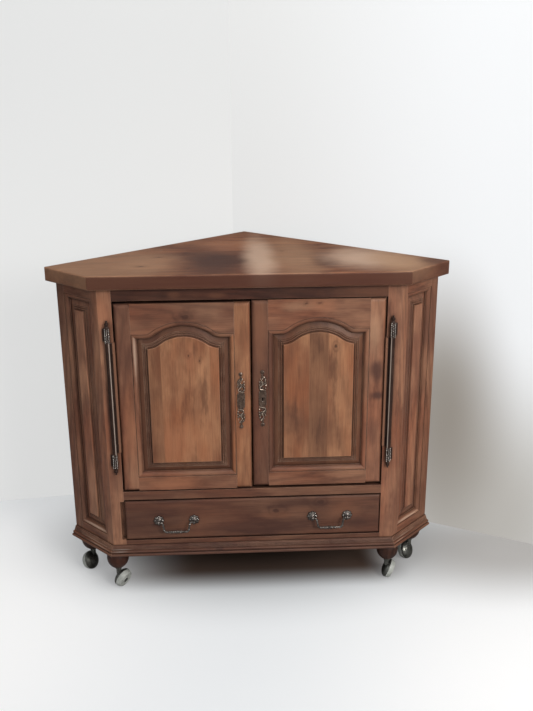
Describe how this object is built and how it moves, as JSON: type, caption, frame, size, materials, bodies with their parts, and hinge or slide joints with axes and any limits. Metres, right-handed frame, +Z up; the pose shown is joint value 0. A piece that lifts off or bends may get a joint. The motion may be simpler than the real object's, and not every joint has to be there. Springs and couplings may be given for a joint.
{
  "type": "corner tv cabinet",
  "caption": "Corner television cabinet in stained fruitwood with arched panel doors, a long drawer and ball casters",
  "frame": {"origin": "on the floor, under the middle of the top's bounding box", "axes": "+X to the viewer's right along the front, +Y to the rear corner, +Z up; the doors face -Y"},
  "size_m": [0.9958, 0.6189, 0.85],
  "materials": {
    "stained_wood": "satin waxed",
    "dark_wood": "satin waxed",
    "panel_wood": "satin waxed",
    "inner_wood": "planed, thin stain",
    "aged_iron": "rubbed, patinated",
    "pewter_metal": "worn satin",
    "grey_tread": "matt"
  },
  "bodies": {
    "cabinet": {"top_slab": "dark_wood", "post_front_left": "stained_wood", "post_front_right": "stained_wood", "post_rear_left": "stained_wood", "post_rear_right": "stained_wood", "post_apex": "inner_wood", "return_top_rail_left": "stained_wood", "return_top_rail_right": "stained_wood", "return_bottom_rail_left": "stained_wood", "return_bottom_rail_right": "stained_wood", "return_panel_left": "panel_wood", "return_panel_right": "panel_wood", "frieze_rail": "dark_wood", "mid_rail": "stained_wood", "bottom_rail": "stained_wood", "base_moulding_front": "dark_wood", "base_moulding_left": "dark_wood", "base_moulding_right": "dark_wood", "base_board": "dark_wood", "floor_board": "inner_wood", "back_board_left": "inner_wood", "back_board_right": "inner_wood", "drawer_runners": "inner_wood", "bun_feet": "stained_wood", "caster_sockets": "pewter_metal", "hinge_knuckles_left": "aged_iron", "hinge_knuckles_right": "aged_iron"},
    "door_left": {"door_left_hinge_stile": "stained_wood", "door_left_meeting_stile": "stained_wood", "door_left_top_rail": "stained_wood", "door_left_bottom_rail": "stained_wood", "door_left_panel": "panel_wood", "escutcheon_left": "aged_iron", "hinge_sleeve_left": "aged_iron"},
    "door_right": {"door_right_hinge_stile": "stained_wood", "door_right_meeting_stile": "stained_wood", "door_right_top_rail": "stained_wood", "door_right_bottom_rail": "stained_wood", "door_right_panel": "panel_wood", "escutcheon_right": "aged_iron", "hinge_sleeve_right": "aged_iron", "lock_case": "aged_iron"},
    "drawer": {"drawer_front": "stained_wood", "drawer_side_left": "inner_wood", "drawer_side_right": "inner_wood", "drawer_back": "inner_wood", "drawer_bottom": "inner_wood", "pull_rosettes": "aged_iron"},
    "bail_left": {"bail_left": "aged_iron"},
    "bail_right": {"bail_right": "aged_iron"},
    "caster_hood_front_left": {"caster_hood_front_left": "pewter_metal"},
    "caster_wheel_front_left": {"caster_wheel_front_left": "grey_tread"},
    "caster_hood_front_right": {"caster_hood_front_right": "pewter_metal"},
    "caster_wheel_front_right": {"caster_wheel_front_right": "grey_tread"},
    "caster_hood_rear_left": {"caster_hood_rear_left": "pewter_metal"},
    "caster_wheel_rear_left": {"caster_wheel_rear_left": "grey_tread"},
    "caster_hood_rear_right": {"caster_hood_rear_right": "pewter_metal"},
    "caster_wheel_rear_right": {"caster_wheel_rear_right": "grey_tread"},
    "caster_hood_apex": {"caster_hood_apex": "pewter_metal"},
    "caster_wheel_apex": {"caster_wheel_apex": "grey_tread"}
  },
  "joints": [
    {"name": "door_left_hinge", "type": "hinge", "parent": "cabinet", "child": "door_left", "pos_m": [-0.341, -0.2987, 0.541], "axis": [0, 0, -1], "range_deg": [0, 105]},
    {"name": "door_right_hinge", "type": "hinge", "parent": "cabinet", "child": "door_right", "pos_m": [0.341, -0.2987, 0.541], "axis": [0, 0, 1], "range_deg": [0, 105]},
    {"name": "drawer_slide", "type": "slide", "parent": "cabinet", "child": "drawer", "axis": [0, -1, 0], "range_m": [0, 0.19]},
    {"name": "bail_left_swing", "type": "hinge", "parent": "drawer", "child": "bail_left", "pos_m": [-0.197, -0.3055, 0.208], "axis": [-1, 0, 0], "range_deg": [0, 95]},
    {"name": "bail_right_swing", "type": "hinge", "parent": "drawer", "child": "bail_right", "pos_m": [0.197, -0.3055, 0.208], "axis": [-1, 0, 0], "range_deg": [0, 95]},
    {"name": "swivel_front_left", "type": "hinge", "parent": "cabinet", "child": "caster_hood_front_left", "pos_m": [-0.357, -0.2615, 0.06], "axis": [0, 0, 1], "continuous": true},
    {"name": "roll_front_left", "type": "hinge", "parent": "caster_hood_front_left", "child": "caster_wheel_front_left", "pos_m": [-0.34995, -0.25667, 0.025], "axis": [0.7595, -0.5318, -0.3746], "continuous": true},
    {"name": "swivel_front_right", "type": "hinge", "parent": "cabinet", "child": "caster_hood_front_right", "pos_m": [0.357, -0.2615, 0.06], "axis": [0, 0, 1], "continuous": true},
    {"name": "roll_front_right", "type": "hinge", "parent": "caster_hood_front_right", "child": "caster_wheel_front_right", "pos_m": [0.36185, -0.25446, 0.025], "axis": [0.8996, -0.2243, -0.3746], "continuous": true},
    {"name": "swivel_rear_left", "type": "hinge", "parent": "cabinet", "child": "caster_hood_rear_left", "pos_m": [-0.439, -0.1605, 0.06], "axis": [0, 0, 1], "continuous": true},
    {"name": "roll_rear_left", "type": "hinge", "parent": "caster_hood_rear_left", "child": "caster_wheel_rear_left", "pos_m": [-0.4452, -0.16637, 0.025], "axis": [-0.8333, 0.4065, -0.3746], "continuous": true},
    {"name": "swivel_rear_right", "type": "hinge", "parent": "cabinet", "child": "caster_hood_rear_right", "pos_m": [0.439, -0.1605, 0.06], "axis": [0, 0, 1], "continuous": true},
    {"name": "roll_rear_right", "type": "hinge", "parent": "caster_hood_rear_right", "child": "caster_wheel_rear_right", "pos_m": [0.43156, -0.1647, 0.025], "axis": [-0.7103, 0.596, -0.3746], "continuous": true},
    {"name": "swivel_apex", "type": "hinge", "parent": "cabinet", "child": "caster_hood_apex", "pos_m": [0, 0.2295, 0.06], "axis": [0, 0, 1], "continuous": true},
    {"name": "roll_apex", "type": "hinge", "parent": "caster_hood_apex", "child": "caster_wheel_apex", "pos_m": [-0.008, 0.2325, 0.025], "axis": [0, 0.9272, -0.3746], "continuous": true}
  ]
}
